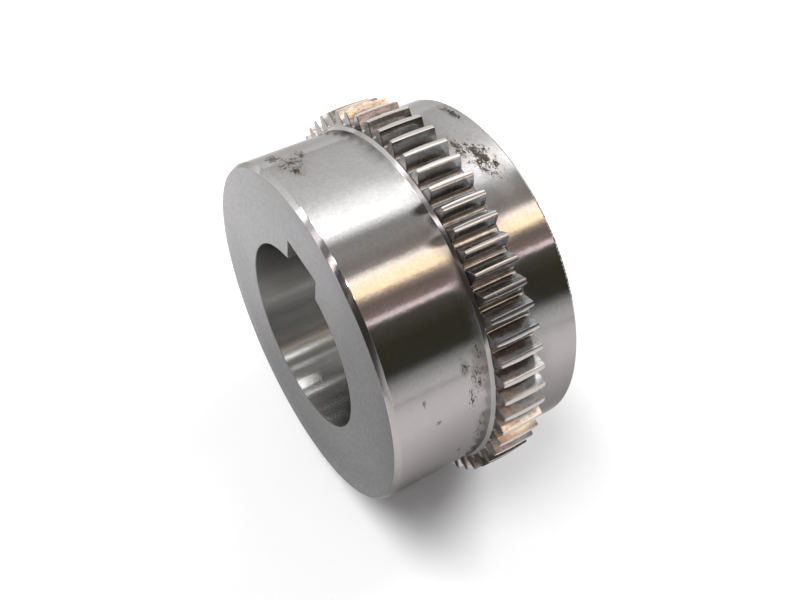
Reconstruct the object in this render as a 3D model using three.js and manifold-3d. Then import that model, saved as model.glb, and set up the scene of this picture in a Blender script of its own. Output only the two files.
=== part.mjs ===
// Gear coupling hub: one steel piece, turned, bored, keywayed and hobbed.
// Units are millimetres. The bore axis is Y, the long barrel points to -Y, the keyway is at +Z,
// and the origin is on the bore axis at half the hub's length.
import * as THREE from 'three';
import { mergeVertices } from 'three/addons/utils/BufferGeometryUtils.js';
import Module from 'manifold-3d';

const INCH = 25.4;

// Hub body
const LENGTH = 1.94 * INCH;
const BARREL_RADIUS = 1.70 * INCH;
const FRONT_CHAMFER_AXIAL = 1.3;
const FRONT_CHAMFER_RADIAL = 0.8;
const REAR_CHAMFER = 0.8;

// Bore and keyway, for a 1/2 inch square key
const BORE_RADIUS = 0.9375 * INCH;
const BORE_EDGE_BREAK = 0.35;
const KEY_WIDTH = 0.5 * INCH;
const KEY_SIDE_DEPTH = 0.25 * INCH;

// Tooth ring, 16 diametral pitch involute teeth of 20 degrees pressure angle
const TEETH = 58;
const BARREL_SIDES = 2 * TEETH;
const DIAMETRAL_PITCH = 16;
const MODULE_SIZE = INCH / DIAMETRAL_PITCH;
const PRESSURE_ANGLE = THREE.MathUtils.degToRad(20);
const DEDENDUM_FACTOR = 1.25;
const TIP_BREAK = 0.12;
const ROOT_FILLET = 0.42;
const RING_WIDTH = 11.0;
const RING_FRONT = 1.0 * INCH;
const CROWN_SLICES = 4;
const FLANK_RELIEF = 0.14;
const TIP_RELIEF = 0.22;
const FIRST_TOOTH_ANGLE = THREE.MathUtils.degToRad(-2.85);

// How the ring is rooted in the body
const RING_INNER_RADIUS = BARREL_RADIUS - 4;
const SHOULDER_MARGIN = 0.1;
const SHOULDER_SINK = 0.05;
const CORE_INSET = 0.8;
const CUT_OVERRUN = 5;

// Drawing settings: facets of the ring's hidden inner hole, how far above the root crowning starts
// as a share of the tooth height, and how near two points must be to be joined
const RING_HOLE_SEGMENTS = 24;
const CROWN_START = 0.01;
const WELD_DISTANCE = 1e-4;

const HALF_LENGTH = LENGTH / 2;
const PITCH_RADIUS = TEETH * MODULE_SIZE / 2;
const TIP_RADIUS = PITCH_RADIUS + MODULE_SIZE;
const ROOT_RADIUS = PITCH_RADIUS - DEDENDUM_FACTOR * MODULE_SIZE;
const BASE_RADIUS = PITCH_RADIUS * Math.cos(PRESSURE_ANGLE);

const involute = (angle) => Math.tan(angle) - angle;

// Half of the angle that one tooth covers at a radius.
function halfToothAngle(radius) {
  const angleHere = Math.acos(Math.min(1, BASE_RADIUS / radius));
  return Math.PI / (2 * TEETH) + involute(PRESSURE_ANGLE) - involute(angleHere);
}

// One side of a tooth from its root to its tip, as pairs of radius and angle off the tooth's centre.
function toothSide() {
  const filletTop = ROOT_RADIUS + ROOT_FILLET;
  const flankTop = TIP_RADIUS - TIP_BREAK;
  return [
    [ROOT_RADIUS, halfToothAngle(ROOT_RADIUS) + ROOT_FILLET / ROOT_RADIUS],
    [filletTop, halfToothAngle(filletTop)],
    [PITCH_RADIUS, halfToothAngle(PITCH_RADIUS)],
    [flankTop, halfToothAngle(flankTop)],
    [TIP_RADIUS, halfToothAngle(flankTop) - TIP_BREAK / TIP_RADIUS],
  ];
}

// The ring's outline seen along the axis, starting from the first tooth's left root.
function ringOutline() {
  const shape = new THREE.Shape();
  const side = toothSide();
  const pitchAngle = 2 * Math.PI / TEETH;
  const points = [];
  for (let tooth = 0; tooth < TEETH; tooth += 1) {
    const centre = tooth * pitchAngle;
    for (const [radius, off] of side) {
      points.push(new THREE.Vector2(radius * Math.cos(centre - off), radius * Math.sin(centre - off)));
    }
    for (const [radius, off] of [...side].reverse()) {
      points.push(new THREE.Vector2(radius * Math.cos(centre + off), radius * Math.sin(centre + off)));
    }
  }
  shape.setFromPoints(points);
  const hole = new THREE.Path();
  hole.absarc(0, 0, RING_INNER_RADIUS, 0, 2 * Math.PI, true);
  shape.holes.push(hole);
  return shape;
}

// The ring runs along Z here. Its teeth are crowned: thinner and a little lower towards both ends.
function ringGeometry() {
  const geometry = new THREE.ExtrudeGeometry(ringOutline(), {
    depth: RING_WIDTH,
    steps: CROWN_SLICES,
    bevelEnabled: false,
    curveSegments: RING_HOLE_SEGMENTS,
  });
  const pitchAngle = 2 * Math.PI / TEETH;
  const position = geometry.getAttribute('position');
  for (let i = 0; i < position.count; i += 1) {
    const radius = Math.hypot(position.getX(i), position.getY(i));
    const height = (radius - ROOT_RADIUS) / (TIP_RADIUS - ROOT_RADIUS);
    if (height > CROWN_START) {
      const angle = Math.atan2(position.getY(i), position.getX(i));
      const centre = Math.round(angle / pitchAngle) * pitchAngle;
      const station = 2 * position.getZ(i) / RING_WIDTH - 1;
      const relief = station * station;
      const off = angle - centre;
      const newOff = off - Math.sign(off) * FLANK_RELIEF * relief * height / radius;
      const newRadius = radius - TIP_RELIEF * relief * height;
      position.setX(i, newRadius * Math.cos(centre + newOff));
      position.setY(i, newRadius * Math.sin(centre + newOff));
    }
  }
  return geometry;
}

// Half-section of the body as radius and height, closed on itself, around the bore.
function bodyGeometry() {
  const front = -HALF_LENGTH;
  const rear = HALF_LENGTH;
  const ringFront = front + RING_FRONT;
  const ringRear = ringFront + RING_WIDTH;
  const shoulderTop = ROOT_RADIUS - SHOULDER_MARGIN;
  const rise = shoulderTop - BARREL_RADIUS;
  const coreRadius = BARREL_RADIUS - CORE_INSET;
  const corners = [
    [BORE_RADIUS, front + BORE_EDGE_BREAK],
    [BORE_RADIUS + BORE_EDGE_BREAK, front],
    [BARREL_RADIUS - FRONT_CHAMFER_RADIAL, front],
    [BARREL_RADIUS, front + FRONT_CHAMFER_AXIAL],
    [BARREL_RADIUS, ringFront - rise],
    [shoulderTop + SHOULDER_SINK, ringFront + SHOULDER_SINK],
    [coreRadius, ringFront + CORE_INSET],
    [coreRadius, ringRear - CORE_INSET],
    [shoulderTop + SHOULDER_SINK, ringRear - SHOULDER_SINK],
    [BARREL_RADIUS, ringRear + rise],
    [BARREL_RADIUS, rear - REAR_CHAMFER],
    [BARREL_RADIUS - REAR_CHAMFER, rear],
    [BORE_RADIUS + BORE_EDGE_BREAK, rear],
    [BORE_RADIUS, rear - BORE_EDGE_BREAK],
    [BORE_RADIUS, front + BORE_EDGE_BREAK],
  ];
  const profile = corners.map(([radius, height]) => new THREE.Vector2(radius, height));
  return new THREE.LatheGeometry(profile, BARREL_SIDES);
}

// The keyway's cutter reaches from inside the bore to the keyway's floor.
function keywayGeometry() {
  const wallFoot = Math.sqrt(BORE_RADIUS ** 2 - (KEY_WIDTH / 2) ** 2);
  const floorHeight = wallFoot + KEY_SIDE_DEPTH;
  const cutterHeight = floorHeight - BORE_RADIUS / 2;
  const geometry = new THREE.BoxGeometry(KEY_WIDTH, LENGTH + 2 * CUT_OVERRUN, cutterHeight);
  geometry.translate(0, 0, floorHeight - cutterHeight / 2);
  return geometry;
}

const wasm = await Module();
wasm.setup();

function toSolid(geometry) {
  const bare = geometry.clone();
  bare.deleteAttribute('normal');
  bare.deleteAttribute('uv');
  const merged = mergeVertices(bare, WELD_DISTANCE);
  return new wasm.Manifold(new wasm.Mesh({
    numProp: 3,
    vertProperties: new Float32Array(merged.getAttribute('position').array),
    triVerts: new Uint32Array(merged.getIndex().array),
  }));
}

function toGeometry(solid) {
  const mesh = solid.getMesh();
  const geometry = new THREE.BufferGeometry();
  geometry.setAttribute('position', new THREE.BufferAttribute(new Float32Array(mesh.vertProperties), 3));
  geometry.setIndex(new THREE.BufferAttribute(new Uint32Array(mesh.triVerts), 1));
  geometry.computeVertexNormals();
  return geometry;
}

// Stand the ring on the bore axis with its first tooth just beside +Z, and slide it to its place.
const ring = ringGeometry();
ring.rotateX(-Math.PI / 2);
ring.rotateY(FIRST_TOOTH_ANGLE - Math.PI / 2);
ring.translate(0, RING_FRONT - HALF_LENGTH, 0);

// Turn the body's flats so that one lies under each tooth and one under each gap.
const body = bodyGeometry();
body.rotateY(FIRST_TOOTH_ANGLE + Math.PI / BARREL_SIDES);

const hubSolid = toSolid(body).add(toSolid(ring)).subtract(toSolid(keywayGeometry()));

const steel = new THREE.MeshStandardMaterial({ color: 0x9b9a97, roughness: 0.34, metalness: 1.0 });

const hub = new THREE.Mesh(toGeometry(hubSolid), steel);
hub.name = 'gear_hub';

const group = new THREE.Group();
group.name = 'gear_coupling_hub';
group.add(hub);

export default group;
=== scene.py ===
# Gear coupling hub on a pale studio floor.
# Metres, bore axis along Y, long barrel towards -Y, keyway at +Z, origin at half length.
# Angles round the hub start at the keyway (+Z) and grow towards +X.
import math

import bmesh
import bpy
from mathutils import Matrix, Vector


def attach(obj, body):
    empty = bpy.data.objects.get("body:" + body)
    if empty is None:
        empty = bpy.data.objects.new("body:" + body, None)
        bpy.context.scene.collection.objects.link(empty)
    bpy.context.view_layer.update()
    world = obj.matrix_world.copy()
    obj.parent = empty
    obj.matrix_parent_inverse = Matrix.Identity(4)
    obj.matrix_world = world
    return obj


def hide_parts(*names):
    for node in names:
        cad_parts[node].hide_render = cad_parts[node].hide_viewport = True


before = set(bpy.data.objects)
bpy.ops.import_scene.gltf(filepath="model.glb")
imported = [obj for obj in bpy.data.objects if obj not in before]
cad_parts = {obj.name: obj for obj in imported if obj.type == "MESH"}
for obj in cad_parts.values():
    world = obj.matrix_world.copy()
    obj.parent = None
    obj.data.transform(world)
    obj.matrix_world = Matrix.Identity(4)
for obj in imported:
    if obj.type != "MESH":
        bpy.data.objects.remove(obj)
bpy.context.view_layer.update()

MM = 0.001
INCH = 0.0254
FULL_TURN = 2 * math.pi

# ---------------------------------------------------------------- sizes
LENGTH = 1.94 * INCH
HALF = LENGTH / 2
BARREL_R = 1.70 * INCH
BORE_R = 0.9375 * INCH
KEY_HALF = 0.25 * INCH
KEY_DEPTH = 0.25 * INCH                       # at the keyway's walls
KEY_FLOOR = math.sqrt(BORE_R ** 2 - KEY_HALF ** 2) + KEY_DEPTH

TEETH = 58
MODULE = INCH / 16
PRESSURE_ANGLE = math.radians(20)
PITCH_R = TEETH * MODULE / 2
TIP_R = PITCH_R + MODULE
ROOT_R = PITCH_R - 1.25 * MODULE
BASE_R = PITCH_R * math.cos(PRESSURE_ANGLE)
TOOTH_PITCH = FULL_TURN / TEETH
FIRST_TOOTH = math.radians(-2.85)
TIP_BREAK = 0.14 * MM
ROOT_FILLET = 0.40 * MM
FILLET_BULGE = 0.10 * MM
CROWN_FLANK = 0.14 * MM                       # what the ends of a tooth lose on each flank
CROWN_TIP = 0.22 * MM                         # and at the tip
FLANK_STEPS = 5
CROWN_STEPS = 10

RING_FRONT = -HALF + 1.0 * INCH
RING_WIDTH = 11.0 * MM
RING_REAR = RING_FRONT + RING_WIDTH
RING_EDGE = 0.10 * MM                         # broken edge at both ends of the teeth
SHOULDER_TOP = ROOT_R - 0.12 * MM
SHOULDER_RISE = SHOULDER_TOP - BARREL_R

FACE_LOOPS = 31.5 * MM, 37.0 * MM             # rings across each end face
CHAMFER_IN = 0.8 * MM
FRONT_CHAMFER_BACK = 1.3 * MM
CORNER_ROUND = 0.14 * MM
CORNER_STEPS = 3
BORE_EASE = 0.15 * MM                         # broken edge at both ends of the bore
KEY_EASE = 0.35                               # the keyway's share of that
BORE_GUARD = 0.3 * MM                         # from a broken edge to a loop that holds its shade
BARREL_GUARDS = 1.3 * MM, 1.1 * MM            # the same beside the notched rear chamfer
SHARP_EDGE = math.radians(32)

CHATTER_START, CHATTER_END = 15, 56           # degrees
CHATTER_FADE_IN, CHATTER_FADE_OUT = 8, 5
CHATTER_PITCH = 1.12
CHATTER_DEPTH = 0.20 * MM


# ---------------------------------------------------------------- fine hub mesh
def involute(a):
    return math.tan(a) - a


def half_tooth(radius):
    """Half the angle that a tooth takes up at a radius."""
    return (math.pi / (2 * TEETH) + involute(PRESSURE_ANGLE)
            - involute(math.acos(min(1.0, BASE_R / radius))))


def tooth_half_profile():
    """From the gap's middle to the tip's middle: (radius, angle from the tooth's centre)."""
    gap = TOOTH_PITCH / 2
    fillet_top = ROOT_R + ROOT_FILLET
    flank_top = TIP_R - TIP_BREAK
    foot = half_tooth(ROOT_R) + ROOT_FILLET / ROOT_R
    points = [(ROOT_R, gap), (ROOT_R, (gap + foot) / 2), (ROOT_R, foot)]
    for step in (0.25, 0.5, 0.75):                       # round of the root fillet
        turn = step * math.pi / 2
        radius = ROOT_R + ROOT_FILLET * (1 - math.cos(turn))
        points.append((radius, half_tooth(fillet_top) * step + foot * (1 - step)
                       - FILLET_BULGE / ROOT_R * math.sin(2 * turn)))
    for k in range(FLANK_STEPS + 1):
        radius = fillet_top + (flank_top - fillet_top) * k / FLANK_STEPS
        points.append((radius, half_tooth(radius)))
    points.append((TIP_R - 0.3 * TIP_BREAK, half_tooth(flank_top) - 0.3 * TIP_BREAK / TIP_R))
    points.append((TIP_R, half_tooth(flank_top) - TIP_BREAK / TIP_R))
    points.append((TIP_R, 0.0))
    return points


def ring_section():
    """The whole gear outline as (radius, angle, angle of its tooth's centre), once around."""
    half = tooth_half_profile()
    section = []
    for tooth in range(TEETH):
        centre = FIRST_TOOTH + tooth * TOOTH_PITCH
        section += [(radius, centre - off, centre) for radius, off in half[:-1]]
        section.append((half[-1][0], centre, centre))
        section += [(radius, centre + off, centre) for radius, off in reversed(half[1:-1])]
    return section


def gear_loop(section, y, crown, inset):
    """The gear outline at one height: thinned by its share of the crown and shrunk by inset."""
    flat = []
    for radius, angle, centre in section:
        height = (radius - ROOT_R) / (TIP_R - ROOT_R)
        off = angle - centre
        side = 0.0 if abs(off) < 1e-9 else math.copysign(1.0, off)
        angle = centre + off - side * CROWN_FLANK * crown * height / radius
        radius = radius - CROWN_TIP * crown * height
        flat.append((radius * math.sin(angle), radius * math.cos(angle)))
    loop = []
    for i, (x, z) in enumerate(flat):
        if inset:
            ax, az = flat[i - 1]
            bx, bz = flat[(i + 1) % len(flat)]
            tx, tz = bx - ax, bz - az
            size = math.hypot(tx, tz)
            x, z = x + inset * tz / size, z - inset * tx / size
        loop.append(Vector((x, y, z)))
    return loop


def round_loop(angles, radius, y):
    return [Vector((radius * math.sin(a), y, radius * math.cos(a))) for a in angles]


def within_half_turn(angle):
    return (angle + math.pi) % FULL_TURN - math.pi


def eased_bore(ease):
    """Half width and floor of the keyway and radius of the bore, grown by a broken edge."""
    return KEY_HALF + KEY_EASE * ease, KEY_FLOOR + KEY_EASE * ease, BORE_R + ease


def bore_radius(angle, ease):
    """Radius of the bore and keyway outline at an angle."""
    half, floor, bore = eased_bore(ease)
    a = abs(within_half_turn(angle))
    if a <= math.atan2(half, floor):
        return floor / math.cos(a)
    if a <= math.asin(half / bore):
        return half / math.sin(a)
    return bore


def bore_angles(angles, ease):
    """The common angles with the nearest ones moved onto the keyway's corners."""
    half, floor, bore = eased_bore(ease)
    plain = math.atan2(KEY_HALF, KEY_FLOOR), math.asin(KEY_HALF / BORE_R)
    eased = math.atan2(half, floor), math.asin(half / bore)
    out = list(angles)
    for side in (-1, 1):
        for at, to in zip(plain, eased):
            nearest = min(range(len(angles)),
                          key=lambda i: abs(within_half_turn(angles[i] - side * at)))
            out[nearest] = side * to
    return out


def bore_loop(angles, y, ease=0.0):
    return [Vector((bore_radius(a, ease) * math.sin(a), y, bore_radius(a, ease) * math.cos(a)))
            for a in bore_angles(angles, ease)]


def rounded(points):
    """An open profile of (radius, height) points with its corners rounded, without its two ends."""
    out = []
    for before, here, after in zip(points, points[1:], points[2:]):
        corner = Vector(here)
        back = Vector(before) - corner
        on = Vector(after) - corner
        reach = min(CORNER_ROUND, back.length * 0.4, on.length * 0.4)
        a = corner + back.normalized() * reach
        b = corner + on.normalized() * reach
        for k in range(CORNER_STEPS + 1):
            t = k / CORNER_STEPS
            p = a * (1 - t) ** 2 + corner * 2 * t * (1 - t) + b * t ** 2
            out.append((p.x, p.y))
    return out


def chatter(loop):
    """Cuts tool chatter into a part of a rear chamfer loop: notches side by side."""
    for point in loop:
        theta = math.degrees(math.atan2(point.x, point.z))
        if CHATTER_START < theta < CHATTER_END:
            fade = min(1.0, (theta - CHATTER_START) / CHATTER_FADE_IN,
                       (CHATTER_END - theta) / CHATTER_FADE_OUT)
            wave = 0.5 - 0.5 * math.cos(FULL_TURN * theta / CHATTER_PITCH)
            cut = CHATTER_DEPTH * fade * wave
            radius = math.hypot(point.x, point.z)
            point.x *= 1 - cut / radius
            point.z *= 1 - cut / radius
            point.y -= cut


FACE, BARREL, SHOULDER, TEETH_SLOT, BORE_SLOT, KEY_SLOT = range(6)
FLAT_WITHIN = 0.05 * MM                       # this near an end plane, a loop belongs to the face
SLOPE_WITHIN = 0.02 * MM                      # this near a shoulder's foot, to the shoulder


def front_loops(angles):
    """(loop, slot of the faces that follow it) from the bore's front edge to the teeth."""
    loops = [
        (bore_loop(angles, 0.0), BORE_SLOT),
        (bore_loop(angles, -HALF + BORE_EASE + BORE_GUARD), BORE_SLOT),
        (bore_loop(angles, -HALF + BORE_EASE), FACE),
        (bore_loop(angles, -HALF, BORE_EASE), FACE),
    ]
    loops += [(round_loop(angles, radius, -HALF), FACE) for radius in FACE_LOOPS]
    profile = rounded([
        (FACE_LOOPS[-1], -HALF), (BARREL_R - CHAMFER_IN, -HALF),
        (BARREL_R, -HALF + FRONT_CHAMFER_BACK), (BARREL_R, RING_FRONT - SHOULDER_RISE),
        (SHOULDER_TOP, RING_FRONT)])
    for radius, y in profile:
        slot = FACE if y < -HALF + FLAT_WITHIN else BARREL
        if y > RING_FRONT - SHOULDER_RISE - SLOPE_WITHIN:
            slot = SHOULDER
        loops.append((round_loop(angles, radius, y), slot))
    loops.append((round_loop(angles, SHOULDER_TOP, RING_FRONT), SHOULDER))
    return loops


def tooth_loops(section):
    edge = RING_EDGE / RING_WIDTH
    loops = [(gear_loop(section, RING_FRONT, 1.0, RING_EDGE), TEETH_SLOT)]
    for t in [edge] + [k / CROWN_STEPS for k in range(1, CROWN_STEPS)] + [1 - edge]:
        y = RING_FRONT + t * RING_WIDTH
        loops.append((gear_loop(section, y, (2 * t - 1) ** 2, 0.0), TEETH_SLOT))
    loops.append((gear_loop(section, RING_REAR, 1.0, RING_EDGE), SHOULDER))
    return loops


def rear_loops(angles):
    loops = [(round_loop(angles, SHOULDER_TOP, RING_REAR), SHOULDER)]
    profile = rounded(
        [(SHOULDER_TOP, RING_REAR), (BARREL_R, RING_REAR + SHOULDER_RISE)]
        + [(BARREL_R, HALF - back) for back in BARREL_GUARDS]
        + [(BARREL_R, HALF - CHAMFER_IN),
           (BARREL_R - CHAMFER_IN / 2, HALF - CHAMFER_IN / 2),
           (BARREL_R - CHAMFER_IN, HALF), (FACE_LOOPS[-1], HALF)])
    for radius, y in profile:
        slot = SHOULDER if y < RING_REAR + SHOULDER_RISE - SLOPE_WITHIN else BARREL
        if y > HALF - FLAT_WITHIN:
            slot = FACE
        loop = round_loop(angles, radius, y)
        if HALF - CHAMFER_IN - 0.1 * MM < y < HALF - FLAT_WITHIN:
            chatter(loop)
        loops.append((loop, slot))
    loops += [(round_loop(angles, radius, HALF), FACE) for radius in reversed(FACE_LOOPS)]
    loops += [
        (bore_loop(angles, HALF, BORE_EASE), FACE),
        (bore_loop(angles, HALF - BORE_EASE), BORE_SLOT),
        (bore_loop(angles, HALF - BORE_EASE - BORE_GUARD), BORE_SLOT),
    ]
    return loops


def build_hub():
    """One closed skin: loops of the same angles, each joined to the next, the last to the first."""
    section = ring_section()
    angles = [angle for _, angle, _ in section]
    loops = front_loops(angles) + tooth_loops(section) + rear_loops(angles)
    key_edge = math.asin(KEY_HALF / BORE_R) + 1e-4
    bm = bmesh.new()
    rows = [[bm.verts.new(p) for p in points] for points, _ in loops]
    for i, row in enumerate(rows):
        after = rows[(i + 1) % len(rows)]
        slot = loops[i][1]
        for j in range(len(angles)):
            k = (j + 1) % len(angles)
            face = bm.faces.new((row[j], row[k], after[k], after[j]))
            face.material_index = slot
            face.smooth = True
            if slot == BORE_SLOT:
                middle = face.calc_center_median()
                if abs(math.atan2(middle.x, middle.z)) < key_edge:
                    face.material_index = KEY_SLOT
    bmesh.ops.recalc_face_normals(bm, faces=bm.faces)
    for edge in bm.edges:
        if len(edge.link_faces) == 2 and edge.calc_face_angle(0.0) > SHARP_EDGE:
            edge.smooth = False
    mesh = bpy.data.meshes.new("hub_surface")
    bm.to_mesh(mesh)
    bm.free()
    built = bpy.data.objects.new("hub_surface", mesh)
    bpy.context.collection.objects.link(built)
    return built


hub = build_hub()
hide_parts("gear_hub")
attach(hub, "root")

# ---------------------------------------------------------------- camera, fitted to the photograph
CAMERA_RIGHT = Vector((0.52394, 0.84707, 0.08926))
CAMERA_UP = Vector((-0.71552, 0.38086, 0.58564))
CAMERA_PLACE = Vector((110.455, -84.773, 188.968)) * MM


def make_camera():
    data = bpy.data.cameras.new("camera")
    camera = bpy.data.objects.new("camera", data)
    bpy.context.collection.objects.link(camera)
    bpy.context.scene.camera = camera
    back = CAMERA_RIGHT.cross(CAMERA_UP).normalized()
    up = back.cross(CAMERA_RIGHT).normalized()
    placed = Matrix((CAMERA_RIGHT.normalized(), up, back)).transposed().to_4x4()
    placed.translation = CAMERA_PLACE
    camera.matrix_world = placed
    data.lens = 42.38
    data.sensor_width = 36
    data.clip_start = 0.01
    data.clip_end = 20


make_camera()


# ---------------------------------------------------------------- node helpers
class Nodes:
    """Short ways to add and join shader nodes."""

    def __init__(self, tree):
        self.tree = tree

    def add(self, kind, **settings):
        node = self.tree.nodes.new(kind)
        for name, value in settings.items():
            setattr(node, name, value)
        return node

    def feed(self, socket, value):
        """Links an output to a socket, or sets the socket to a constant."""
        if isinstance(value, bpy.types.NodeSocket):
            self.tree.links.new(value, socket)
        else:
            socket.default_value = value

    def math(self, operation, *values, clamp=False):
        node = self.add("ShaderNodeMath", operation=operation, use_clamp=clamp)
        for socket, value in zip(node.inputs, values):
            self.feed(socket, value)
        return node.outputs[0]

    def times(self, a, b):
        return self.math("MULTIPLY", a, b)

    def times_plus(self, a, b, c):
        return self.math("MULTIPLY_ADD", a, b, c)

    def larger(self, a, b):
        return self.math("MAXIMUM", a, b)

    def noise(self, vector, detail, roughness, distortion=0.0):
        """Noise with features one unit of the vector across."""
        node = self.add("ShaderNodeTexNoise")
        self.feed(node.inputs["Vector"], vector)
        for name, number in (("Scale", 1.0), ("Detail", detail), ("Roughness", roughness),
                             ("Distortion", distortion)):
            node.inputs[name].default_value = number
        return node.outputs["Fac"]

    def step(self, value, low, high):
        """A smooth step from 0 at low to 1 at high."""
        node = self.add("ShaderNodeMapRange", clamp=True, interpolation_type="SMOOTHSTEP")
        self.feed(node.inputs["Value"], value)
        node.inputs["From Min"].default_value = low
        node.inputs["From Max"].default_value = high
        return node.outputs["Result"]

    def span(self, value, start, end, to_start, to_end):
        """A straight line from to_start at start to to_end at end, level beyond them."""
        node = self.add("ShaderNodeMapRange", clamp=True)
        self.feed(node.inputs["Value"], value)
        for name, number in (("From Min", start), ("From Max", end),
                             ("To Min", to_start), ("To Max", to_end)):
            node.inputs[name].default_value = number
        return node.outputs["Result"]

    def rise(self, value, start, end, most=1.0):
        """0 up to start, then straight up to most at end."""
        return self.span(value, start, end, 0.0, most)

    def mix(self, share, a, b, blend="MIX"):
        node = self.add("ShaderNodeMix", data_type="RGBA", blend_type=blend)
        self.feed(node.inputs["Factor"], share)
        self.feed(node.inputs[6], a)
        self.feed(node.inputs[7], b)
        return node.outputs[2]

    def vector(self, x, y, z):
        node = self.add("ShaderNodeCombineXYZ")
        for socket, value in zip(node.inputs, (x, y, z)):
            self.feed(socket, value)
        return node.outputs[0]

    def split(self, vector):
        node = self.add("ShaderNodeSeparateXYZ")
        self.feed(node.inputs[0], vector)
        return node.outputs

    def bands(self, share, stops):
        """A linear ramp from (position 0 to 1, colour) stops, divided by BAND_PEAK to fit in 1."""
        node = self.add("ShaderNodeValToRGB")
        self.feed(node.inputs[0], share)
        node.color_ramp.interpolation = "LINEAR"
        elements = node.color_ramp.elements
        while len(elements) > 1:
            elements.remove(elements[-1])
        for k, (at, colour) in enumerate(stops):
            element = elements[0] if k == 0 else elements.new(at)
            element.position = at
            element.color = tuple(c / BAND_PEAK for c in colour) + (1.0,)
        return node.outputs["Color"]

    def background(self, colour, strength):
        node = self.add("ShaderNodeBackground")
        self.feed(node.inputs["Color"], colour)
        self.feed(node.inputs["Strength"], strength)
        return node.outputs[0]

    def choose(self, share, no, yes):
        node = self.add("ShaderNodeMixShader")
        for socket, value in zip(node.inputs, (share, no, yes)):
            self.feed(socket, value)
        return node.outputs[0]


# ---------------------------------------------------------------- surroundings
def grey(v):
    return (v, v, v)


BAND_PEAK = 16.0                              # above every band's brightness
REAR_BANDS = [                                # degrees round the bore axis, seen by the barrels
    (-180, grey(0.95)),
    (-100, grey(1.05)),
    (-60, grey(1.12)),
    (-47, grey(1.25)),
    (-41, grey(1.5)),
    (-34, grey(2.1)),
    (-27, grey(2.5)),
    (-18, grey(2.75)),
    (-14.8, grey(1.5)),
    (-10.8, grey(0.52)),
    (-1, (0.52, 0.49, 0.47)),
    (6, (0.44, 0.40, 0.36)),
    (10.5, (0.62, 0.55, 0.50)),
    (13, (2.7, 2.4, 2.2)),
    (18, (3.0, 2.35, 1.7)),
    (23.5, (3.0, 2.3, 1.5)),
    (26, (0.75, 0.56, 0.46)),
    (30, (0.30, 0.24, 0.20)),
    (36.3, (0.42, 0.31, 0.29)),
    (38.5, (0.80, 0.63, 0.61)),
    (39.5, (1.9, 1.6, 1.6)),
    (40.8, (1.5, 1.25, 1.2)),
    (42.3, (0.14, 0.125, 0.11)),
    (56, (0.070, 0.066, 0.038)),
    (73.5, (0.060, 0.060, 0.045)),
    (76.5, grey(0.20)),
    (79, grey(0.42)),
    (84, grey(0.70)),
    (90, grey(0.95)),
    (110, grey(0.95)),
    (180, grey(0.95)),
]
FRONT_BANDS = [                               # how far a direction leans to +X, seen by the chamfer
    (-1.0, grey(1.15)),
    (-0.80, grey(1.3)),
    (-0.68, grey(1.7)),
    (-0.64, grey(3.2)),
    (-0.58, grey(3.0)),
    (-0.53, (1.05, 1.0, 1.0)),
    (-0.46, (1.15, 1.02, 1.08)),
    (-0.41, (2.0, 1.85, 1.9)),
    (-0.34, (2.2, 2.0, 2.1)),
    (-0.29, grey(0.42)),
    (-0.165, grey(0.28)),
    (-0.125, (2.9, 2.6, 2.7)),
    (-0.08, (3.4, 3.1, 3.2)),
    (-0.05, grey(0.35)),
    (0.01, grey(0.09)),
    (0.21, (0.13, 0.115, 0.085)),
    (0.228, (0.5, 0.46, 0.42)),
    (0.240, (0.5, 0.46, 0.42)),
    (0.255, (0.22, 0.20, 0.18)),
    (0.31, (0.10, 0.085, 0.08)),
    (0.56, (0.065, 0.058, 0.045)),
    (0.70, grey(0.13)),
    (0.80, grey(0.80)),
    (1.0, grey(0.95)),
]
BORE_BANDS = [                                # degrees, seen by the bore through the front opening
    (-180, grey(0.25)),
    (-60, grey(0.30)),
    (-47, grey(0.5)),
    (28, grey(0.3)),
    (76, grey(0.25)),
    (85, (1.6, 1.45, 1.45)),
    (95, (1.6, 1.45, 1.45)),
    (112, grey(0.3)),
    (130, grey(0.10)),
    (180, grey(0.10)),
]
FRONT_TO_REAR = -0.30, -0.08                  # how far a direction leans to +Y
BORE_LOW, BORE_HIGH = (-0.42, -0.35), (-0.08, -0.14)
BORE_FROM, BORE_TO = (0.347, 0.367), (0.88, 0.86)    # turn round the bore axis, 0 to 1
HORIZON_LIGHT = 0.10
ZENITH_LIGHT = 0.46
SKY_COLOUR = (0.975, 0.965, 0.98, 1)
BACKDROP_COLOUR = (1.0, 1.0, 1.0, 1)


def by_degrees(stops):
    return [(degrees / 360 + 0.5, colour) for degrees, colour in stops]


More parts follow.
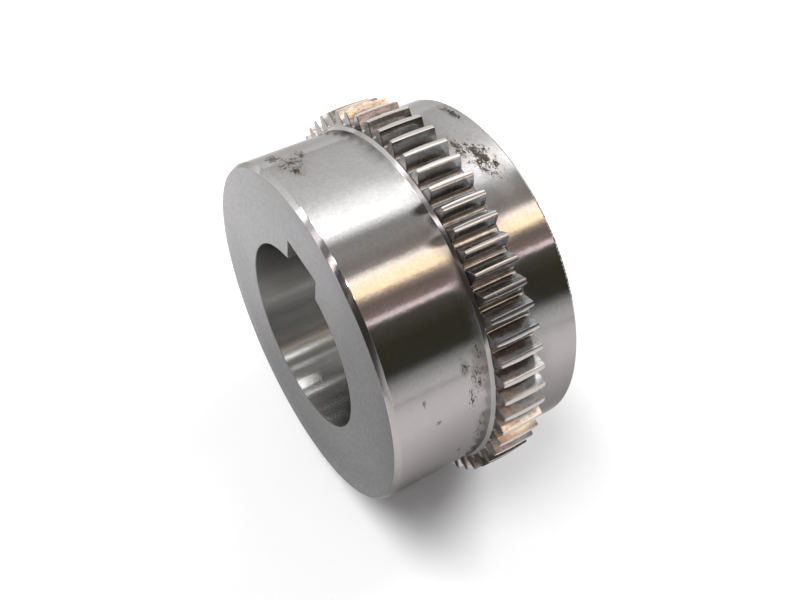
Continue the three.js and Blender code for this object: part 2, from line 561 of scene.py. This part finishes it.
def make_world():
    """A pale studio. Polished metal sees long lamps and dark gaps that run beside the bore axis."""
    world = bpy.data.worlds.new("studio")
    bpy.context.scene.world = world
    world.use_nodes = True
    world.node_tree.nodes.clear()
    n = Nodes(world.node_tree)
    x, y, z = n.split(n.add("ShaderNodeTexCoord").outputs["Generated"])
    turn = n.times_plus(n.math("ARCTAN2", x, z), 0.5 / math.pi, 0.5)
    rear = n.bands(turn, by_degrees(REAR_BANDS))
    front = n.bands(n.times_plus(x, 0.5, 0.5), [(lean / 2 + 0.5, c) for lean, c in FRONT_BANDS])
    seen = n.mix(n.rise(y, *FRONT_TO_REAR), front, rear)
    bore = n.bands(turn, by_degrees(BORE_BANDS))
    here = n.times(n.rise(y, *BORE_LOW), n.rise(y, *BORE_HIGH))
    here = n.times(n.times(here, n.rise(turn, *BORE_FROM)), n.rise(turn, *BORE_TO))
    lamps = n.background(n.mix(here, seen, bore), BAND_PEAK)
    sky = n.background(SKY_COLOUR, n.span(z, 0.0, 1.0, HORIZON_LIGHT, ZENITH_LIGHT))
    backdrop = n.background(BACKDROP_COLOUR, 1.0)
    ray = n.add("ShaderNodeLightPath").outputs
    light = n.choose(ray["Is Glossy Ray"], sky, lamps)
    out = n.add("ShaderNodeOutputWorld")
    n.feed(out.inputs["Surface"], n.choose(ray["Is Camera Ray"], light, backdrop))


make_world()

STRIP_DISTANCE = 1.2
SOFT_DISTANCE = 1.8
STRIP_LIGHTS = [            # name, degrees round the bore axis, lean to -Y, length, width, watts
    ("bore_line_1", 13.5, 0.30, 0.46, 0.045, 2.5),
    ("bore_line_2", -2.0, 0.30, 0.46, 0.050, 0.9),
    ("bore_line_3", -40.0, 0.30, 0.46, 0.045, 1.7),
    ("bore_line_4", 22.5, 0.30, 0.46, 0.040, 0.30),
    ("bore_glow", -24.0, 0.110, 0.17, 0.260, 4.2),
]
SOFT_LIGHTS = [             # name, azimuth from +X towards +Y, elevation, diameter, watts
    ("low_left", 205, 28, 0.90, 27.5),
    ("behind", 108, 47, 0.90, 20.0),
    ("overhead_front", 268, 70, 0.80, 14.0),
]


def area_light(name, shape, size, energy):
    data = bpy.data.lights.new(name, "AREA")
    data.shape = shape
    data.size = size
    data.energy = energy
    lamp = bpy.data.objects.new(name, data)
    bpy.context.collection.objects.link(lamp)
    lamp.visible_camera = False
    return lamp


def strip_light(name, turn, lean, length, width, energy):
    """A lamp beside the bore axis that only shiny surfaces see."""
    lamp = area_light(name, "RECTANGLE", length, energy)
    lamp.data.size_y = width
    lamp.visible_diffuse = False
    a = math.radians(turn)
    flat = math.sqrt(1 - lean * lean)
    out = Vector((math.sin(a) * flat, -lean, math.cos(a) * flat))
    along = (Vector((0, 1, 0)) - out * out.y).normalized()
    placed = Matrix((along, out.cross(along), out)).transposed().to_4x4()
    placed.translation = out * STRIP_DISTANCE
    lamp.matrix_world = placed


def soft_light(name, azimuth, elevation, size, energy):
    """A round lamp for the floor and its shadow, which shiny surfaces don't see."""
    lamp = area_light(name, "DISK", size, energy)
    lamp.visible_glossy = False
    a, e = math.radians(azimuth), math.radians(elevation)
    lamp.location = (SOFT_DISTANCE * math.cos(e) * math.cos(a),
                     SOFT_DISTANCE * math.cos(e) * math.sin(a), SOFT_DISTANCE * math.sin(e))
    lamp.rotation_mode = "QUATERNION"
    lamp.rotation_quaternion = Vector(lamp.location).to_track_quat("Z", "Y")


for row in STRIP_LIGHTS:
    strip_light(*row)
for row in SOFT_LIGHTS:
    soft_light(*row)

FLOOR_REACH = 1.2
FLOOR_Z = -TIP_R - 0.2 * MM
FLOOR_COLOUR = (0.93, 0.925, 0.93, 1)


def make_floor():
    mesh = bpy.data.meshes.new("floor")
    corners = [(x * FLOOR_REACH, y * FLOOR_REACH, FLOOR_Z)
               for x, y in ((-1, -1), (1, -1), (1, 1), (-1, 1))]
    mesh.from_pydata(corners, [], [(0, 1, 2, 3)])
    floor = bpy.data.objects.new("floor", mesh)
    bpy.context.collection.objects.link(floor)
    material = bpy.data.materials.new("floor_white")
    material.use_nodes = True
    shader = material.node_tree.nodes["Principled BSDF"]
    shader.inputs["Base Color"].default_value = FLOOR_COLOUR
    shader.inputs["Roughness"].default_value = 0.7
    shader.inputs["Specular IOR Level"].default_value = 0.1
    mesh.materials.append(material)


make_floor()
bpy.context.scene.view_settings.view_transform = "Standard"
bpy.context.scene.view_settings.look = "None"


# ---------------------------------------------------------------- steel
class Place:
    """Where a shaded point lies on the hub: theta in degrees, radius and depth in mm.

    Depth starts at the long barrel's face.
    """

    def __init__(self, n):
        self.n = n
        self.x, self.y, self.z = n.split(n.add("ShaderNodeTexCoord").outputs["Object"])
        self.theta = n.times(n.math("ARCTAN2", self.x, self.z), 180 / math.pi)
        self.depth = n.times_plus(self.y, 1 / MM, HALF / MM)
        square = n.times_plus(self.x, self.x, n.times(self.z, self.z))
        self.radius = n.times(n.math("SQRT", square), 1 / MM)

    def noise(self, across, along, detail, roughness, distortion=0.0):
        """Noise with its own scale across the axis and along it, in features a metre."""
        n = self.n
        vector = n.vector(n.times(self.x, across), n.times(self.y, along), n.times(self.z, across))
        return n.noise(vector, detail, roughness, distortion)

    def patch(self, theta, depth, wide, long, soft=0.0):
        """1 in the middle of an oval patch, 0 outside it."""
        n = self.n
        u = n.math("DIVIDE", n.math("SUBTRACT", self.theta, theta), wide)
        v = n.math("DIVIDE", n.math("SUBTRACT", self.depth, depth), long)
        far = n.math("SQRT", n.times_plus(u, u, n.times(v, v)))
        return n.span(far, soft, 1.0, 1.0, 0.0)

    def patches(self, spots):
        total = self.patch(*spots[0])
        for spot in spots[1:]:
            total = self.n.larger(total, self.patch(*spot))
        return total


def new_steel(name, anisotropy, rim=1.0):
    """A metal with its grain round the axis; rim is how bright it stays at grazing angles."""
    material = bpy.data.materials.new(name)
    material.use_nodes = True
    n = Nodes(material.node_tree)
    shader = material.node_tree.nodes["Principled BSDF"].inputs
    shader["Metallic"].default_value = 1.0
    shader["Anisotropic"].default_value = anisotropy
    shader["Specular Tint"].default_value = (rim, rim, rim, 1)
    if anisotropy:
        shader["Anisotropic Rotation"].default_value = 0.25
        tangent = n.add("ShaderNodeTangent", direction_type="RADIAL", axis="Y")
        n.feed(shader["Tangent"], tangent.outputs[0])
    return material, n, shader, Place(n)


def bump(n, shader, height, strength, distance):
    node = n.add("ShaderNodeBump")
    node.inputs["Strength"].default_value = strength
    node.inputs["Distance"].default_value = distance
    n.feed(node.inputs["Height"], height)
    n.feed(shader["Normal"], node.outputs[0])


# Patches: theta, depth, half width in degrees, half length in mm, where the edge starts to fade.
SMEARS = [
    (11.6, 25.2, 2.3, 4.8, 0.6), (21.9, 25.2, 2.2, 5.6, 0.6), (16.0, 25.2, 3.2, 2.2, 0.4),
    (-33, 25.2, 6, 4.0, 0.3), (32, 25.2, 9, 1.6, 0.2),
]
RUST_SPOTS = [
    (-25, 7.0, 10, 5.0), (-19, 6.5, 5, 3.5), (-33, 5.5, 9, 3.0), (-28, 10.5, 6, 2.2),
    (3, 43.0, 13, 4.8), (7, 45.0, 4, 2.0), (-20, 46.5, 11, 2.0), (-3, 40.0, 8, 2.5),
]
STAINS = [(14, 44, 7, 4), (6, 46, 14, 3)]
PIT_SPOTS = [
    (63, 22.0, 8, 2.4), (70, 20, 7, 1.3), (79, 22.5, 3, 1.2), (54, 22.6, 5, 1.6), (63, 8, 2.2, 0.8),
    (72, 11, 1.2, 1.0), (92, 17, 3, 0.8), (85, 22, 8, 2.0), (58, 19, 4, 1.5),
]
DULL_REAR = (8, 43, 17, 8)
TOOTH_RUST = (75.5, 27.6, 1.4, 1.0)
RING_MIDDLE = 30.0                            # depth between the barrels


def near_shoulders(n, at):
    """How near a point of the barrels is to its shoulder: 0 far off, 1 against the front one."""
    front = n.times(n.rise(at.depth, 20.0, 24.4), n.math("LESS_THAN", at.depth, RING_MIDDLE))
    rear = n.times(n.rise(at.depth, 42.0, 37.2, 0.6),
                   n.math("GREATER_THAN", at.depth, RING_MIDDLE))
    return n.math("ADD", front, rear)


def make_barrel():
    bright, mild = (0.44, 0.435, 0.43, 1), (0.385, 0.375, 0.37, 1)
    speckle = (0.30, 0.295, 0.29, 1)
    painted_shade_left, painted_shade_low = (0.25, 0.237, 0.225, 1), (0.19, 0.18, 0.174, 1)
    pink_painted_shade, worn_steel = (0.355, 0.325, 0.322, 1), (0.19, 0.17, 0.155, 1)
    dirt, soot = (0.16, 0.15, 0.145, 1), (0.05, 0.046, 0.042, 1)
    film_brown, pit_dark = (0.25, 0.228, 0.207, 1), (0.06, 0.056, 0.05, 1)
    rust_black, rust_brown = (0.020, 0.018, 0.015, 1), (0.070, 0.050, 0.038, 1)

    material, n, shader, at = new_steel("steel_barrel", 0.9, 0.55)
    cloud = at.noise(60, 60, 4.0, 0.6)
    fine = at.noise(420, 420, 3.0, 0.6)
    turned = at.noise(8, 2600, 2.0, 0.6)
    scrape = at.noise(160, 60, 4.0, 0.6)
    grain = at.noise(1500, 1100, 3.0, 0.7)
    base = n.mix(n.rise(cloud, 0.35, 0.68), bright, mild)
    base = n.mix(n.rise(grain, 0.35, 0.75, 0.5), base, speckle)
    # Painted shade: darker from -24 degrees round the left side to the underside, full beyond -42.
    base = n.mix(n.rise(at.theta, -24.0, -42.0, 0.9), base, painted_shade_left)
    # Painted shade with a pink tint: darker, pinker steel from 50 degrees round the right side to
    # the underside, full beyond 62.
    base = n.mix(n.rise(at.theta, 50.0, 62.0, 0.7), base, pink_painted_shade)
    # More painted shade: darker still from 70 degrees round to the underside, full beyond 98.
    base = n.mix(n.rise(at.theta, 70.0, 98.0, 0.85), base, painted_shade_low)
    # handling dirt and smears against the shoulders
    near = near_shoulders(n, at)
    dirty = n.times(near, n.span(scrape, 0.42, 0.66, 0.15, 1.0))
    base = n.mix(n.times(dirty, 0.80), base, dirt)
    base = n.mix(n.times(at.patches(SMEARS), 0.92), base, soot)
    # rust stains in a brown film
    rusty = at.patches(RUST_SPOTS)
    clusters = at.noise(560, 620, 4.0, 0.7, 0.4)
    specks = at.noise(2100, 2300, 3.0, 0.75)
    spots = n.times_plus(specks, 0.55, n.times(clusters, 0.55))
    rust = n.times(n.step(n.times_plus(rusty, 0.24, spots), 0.68, 0.75), n.step(rusty, 0.0, 0.15))
    stained = n.larger(rusty, at.patches(STAINS))
    film = n.times(n.step(stained, 0.0, 0.9), n.span(cloud, 0.35, 0.6, 0.15, 0.55))
    base = n.mix(film, base, film_brown)
    base = n.mix(rust, base, n.mix(n.rise(fine, 0.35, 0.65), rust_black, rust_brown))
    # small pits in worn patches
    pitted = at.patches(PIT_SPOTS)
    dots = at.noise(1000, 2400, 3.0, 0.6)
    pits = n.times(n.step(n.times_plus(pitted, 0.17, dots), 0.645, 0.715), n.step(pitted, 0.0, 0.1))
    worn = n.times(n.step(pitted, 0.0, 0.6), n.rise(scrape, 0.42, 0.62, 0.55))
    base = n.mix(worn, base, worn_steel)
    base = n.mix(n.times(pits, 0.85), base, pit_dark)
    n.feed(shader["Base Color"], base)

    marks = n.larger(rust, pits)
    rough = n.span(cloud, 0.3, 0.7, 0.10, 0.15)
    rough = n.times_plus(film, 0.35, rough)
    rough = n.times_plus(dirty, 0.10, rough)
    rough = n.times_plus(n.math("POWER", near, 2.0), 0.20, rough)
    rough = n.times_plus(at.patch(*DULL_REAR), 0.16, rough)
    n.feed(shader["Roughness"], n.larger(rough, n.times(marks, 0.6)))
    n.feed(shader["Metallic"], n.times_plus(rust, -0.6, 1.0))
    relief = n.times_plus(turned, 0.10, n.times_plus(fine, 0.5, n.times(marks, -1.0)))
    bump(n, shader, relief, 0.5, 0.04 * MM)
    return material


def make_face():
    pale, mild = (0.232, 0.228, 0.231, 1), (0.198, 0.195, 0.198, 1)
    groove, painted_low_side_shade = (0.160, 0.157, 0.159, 1), (0.080, 0.079, 0.081, 1)

    material, n, shader, at = new_steel("steel_face", 0.5)
    rings = n.noise(n.vector(n.times(at.radius, 3.2), 0.0, 0.0), 3.0, 0.7)
    cloud = at.noise(70, 70, 4.0, 0.6)
    grain = at.noise(900, 900, 2.0, 0.6)
    base = n.mix(n.rise(cloud, 0.3, 0.7), pale, mild)
    base = n.mix(n.rise(rings, 0.3, 0.7, 0.25), base, groove)
    # Painted shade: darker towards +X and downwards, over the face's lower right side.
    base = n.mix(n.rise(n.math("SUBTRACT", at.x, at.z), -0.035, 0.050), base, painted_low_side_shade)
    n.feed(shader["Base Color"], base)
    n.feed(shader["Roughness"], n.span(grain, 0.3, 0.7, 0.30, 0.40))
    bump(n, shader, n.times_plus(rings, 1.0, n.times(grain, 0.4)), 0.35, 0.03 * MM)
    return material


def make_shoulder():
    """The sloped shoulders and the narrow ledges at the foot of the teeth."""
    bright, mild, painted_shoulder_shade = (0.44, 0.43, 0.425, 1), (0.33, 0.32, 0.31, 1), (0.13, 0.125, 0.12, 1)

    material, n, shader, at = new_steel("steel_shoulder", 0.6)
    cloud = at.noise(180, 500, 4.0, 0.6)
    base = n.mix(n.rise(cloud, 0.3, 0.7), bright, mild)
    # Painted shade: the shoulders are a little darker all round, much darker from 50 to 95 degrees
    # on and from -18 to -34 degrees on, round to the underside.
    painted_shade_share = n.larger(n.span(at.theta, 50.0, 95.0, 0.1, 0.9), n.rise(at.theta, -18.0, -34.0, 0.6))
    n.feed(shader["Base Color"], n.mix(painted_shade_share, base, painted_shoulder_shade))
    n.feed(shader["Roughness"], n.span(cloud, 0.3, 0.7, 0.0975, 0.156))
    return material


def make_teeth():
    steel, painted_cool_steel = (0.30, 0.305, 0.305, 1), (0.385, 0.395, 0.40, 1)
    brown_film, bare = (0.48, 0.405, 0.355, 1), (0.50, 0.50, 0.51, 1)
    painted_warm_highlight, streak_dark = (0.66, 0.60, 0.555, 1), (0.14, 0.13, 0.115, 1)
    mottle_brown, orange = (0.17, 0.145, 0.125, 1), (0.40, 0.17, 0.06, 1)
    land_bright, painted_cool_tint = (0.52, 0.485, 0.46, 1), (0.88, 0.97, 1.07, 1)
    painted_end_shade = (0.12, 0.12, 0.11, 1)

    material, n, shader, at = new_steel("steel_teeth", 0.0)
    cloud = at.noise(110, 60, 4.0, 0.6)
    cuts = at.noise(60, 1400, 2.0, 0.6)
    streak = at.noise(900, 90, 3.0, 0.6)
    mottle = at.noise(800, 420, 4.0, 0.7)
    # a brown film in the gaps and all over the lowest teeth, over steel painted lighter and bluer
    # from 10 to 62 degrees, a painted reflection tint
    low = n.rise(at.radius, 46.0, 44.2)
    film = n.math("ADD", n.times(low, 0.20), n.rise(cloud, 0.45, 0.75, 0.30), clamp=True)
    film = n.times(film, n.span(at.depth, 34.0, 27.0, 0.4, 1.3))
    film = n.larger(film, n.times(n.rise(at.theta, 50.0, 70.0, 0.95), n.rise(at.depth, 33.5, 28.5)))
    painted_tint_share = n.times(n.rise(at.theta, 10.0, 20.0), n.rise(at.theta, 62.0, 46.0))
    base = n.mix(film, n.mix(painted_tint_share, steel, painted_cool_steel), brown_film)
    rear_ends = n.times(n.rise(at.theta, 60.0, 76.0, 0.8), n.span(at.depth, 28.0, 32.0, 0.1, 1.0))
    base = n.mix(rear_ends, base, bare)
    # Painted highlight: a warm, lighter tone on the teeth from -12 degrees round the left side,
    # full beyond -24.
    base = n.mix(n.rise(at.theta, -12.0, -24.0, 0.9), base, painted_warm_highlight)
    base = n.mix(n.rise(streak, 0.55, 0.8, 0.14), base, streak_dark)
    base = n.mix(n.rise(mottle, 0.45, 0.64, 0.70), base, mottle_brown)
    base = n.mix(n.step(at.patch(*TOOTH_RUST), 0.1, 0.6), base, orange)
    base = n.mix(n.step(at.radius, 47.25, 47.45), base, land_bright)
    # The same painted reflection tint, bluer near the tips.
    base = n.mix(n.times(painted_tint_share, n.step(at.radius, 46.2, 47.3)), base, painted_cool_tint, blend="MULTIPLY")
    # Painted shade: the teeth's front ends are darker.
    base = n.mix(n.times(n.step(at.depth, 25.75, 25.45), 0.7), base, painted_end_shade)
    n.feed(shader["Base Color"], base)
    n.feed(shader["Roughness"], n.times_plus(mottle, 0.12, n.span(cuts, 0.3, 0.7, 0.13, 0.20)))
    bump(n, shader, n.times_plus(cuts, 1.0, n.times(streak, 0.3)), 0.15, 0.01 * MM)
    return material


def make_bore():
    """Honed: strong anisotropy draws each lamp out into a line along the bore."""
    bright, mild = (0.40, 0.40, 0.39, 1), (0.34, 0.34, 0.33, 1)

    material, n, shader, at = new_steel("steel_bore", 1.0)
    honed = at.noise(12, 2200, 2.0, 0.6)
    drawn = at.noise(700, 12, 3.0, 0.6)
    n.feed(shader["Base Color"], n.mix(n.rise(drawn, 0.35, 0.7), bright, mild))
    n.feed(shader["Roughness"], n.span(honed, 0.3, 0.7, 0.245, 0.255))
    return material


def make_keyway():
    bright, mild = (0.42, 0.41, 0.40, 1), (0.30, 0.29, 0.28, 1)

    material, n, shader, at = new_steel("steel_keyway", 0.0)
    drawn = at.noise(900, 14, 3.0, 0.6)
    n.feed(shader["Base Color"], n.mix(n.rise(drawn, 0.3, 0.7), bright, mild))
    n.feed(shader["Roughness"], n.span(drawn, 0.3, 0.7, 0.26, 0.38))
    bump(n, shader, drawn, 0.4, 0.03 * MM)
    return material


# In the order of the slots FACE to KEY_SLOT.
for make in (make_face, make_barrel, make_shoulder, make_teeth, make_bore, make_keyway):
    hub.data.materials.append(make())
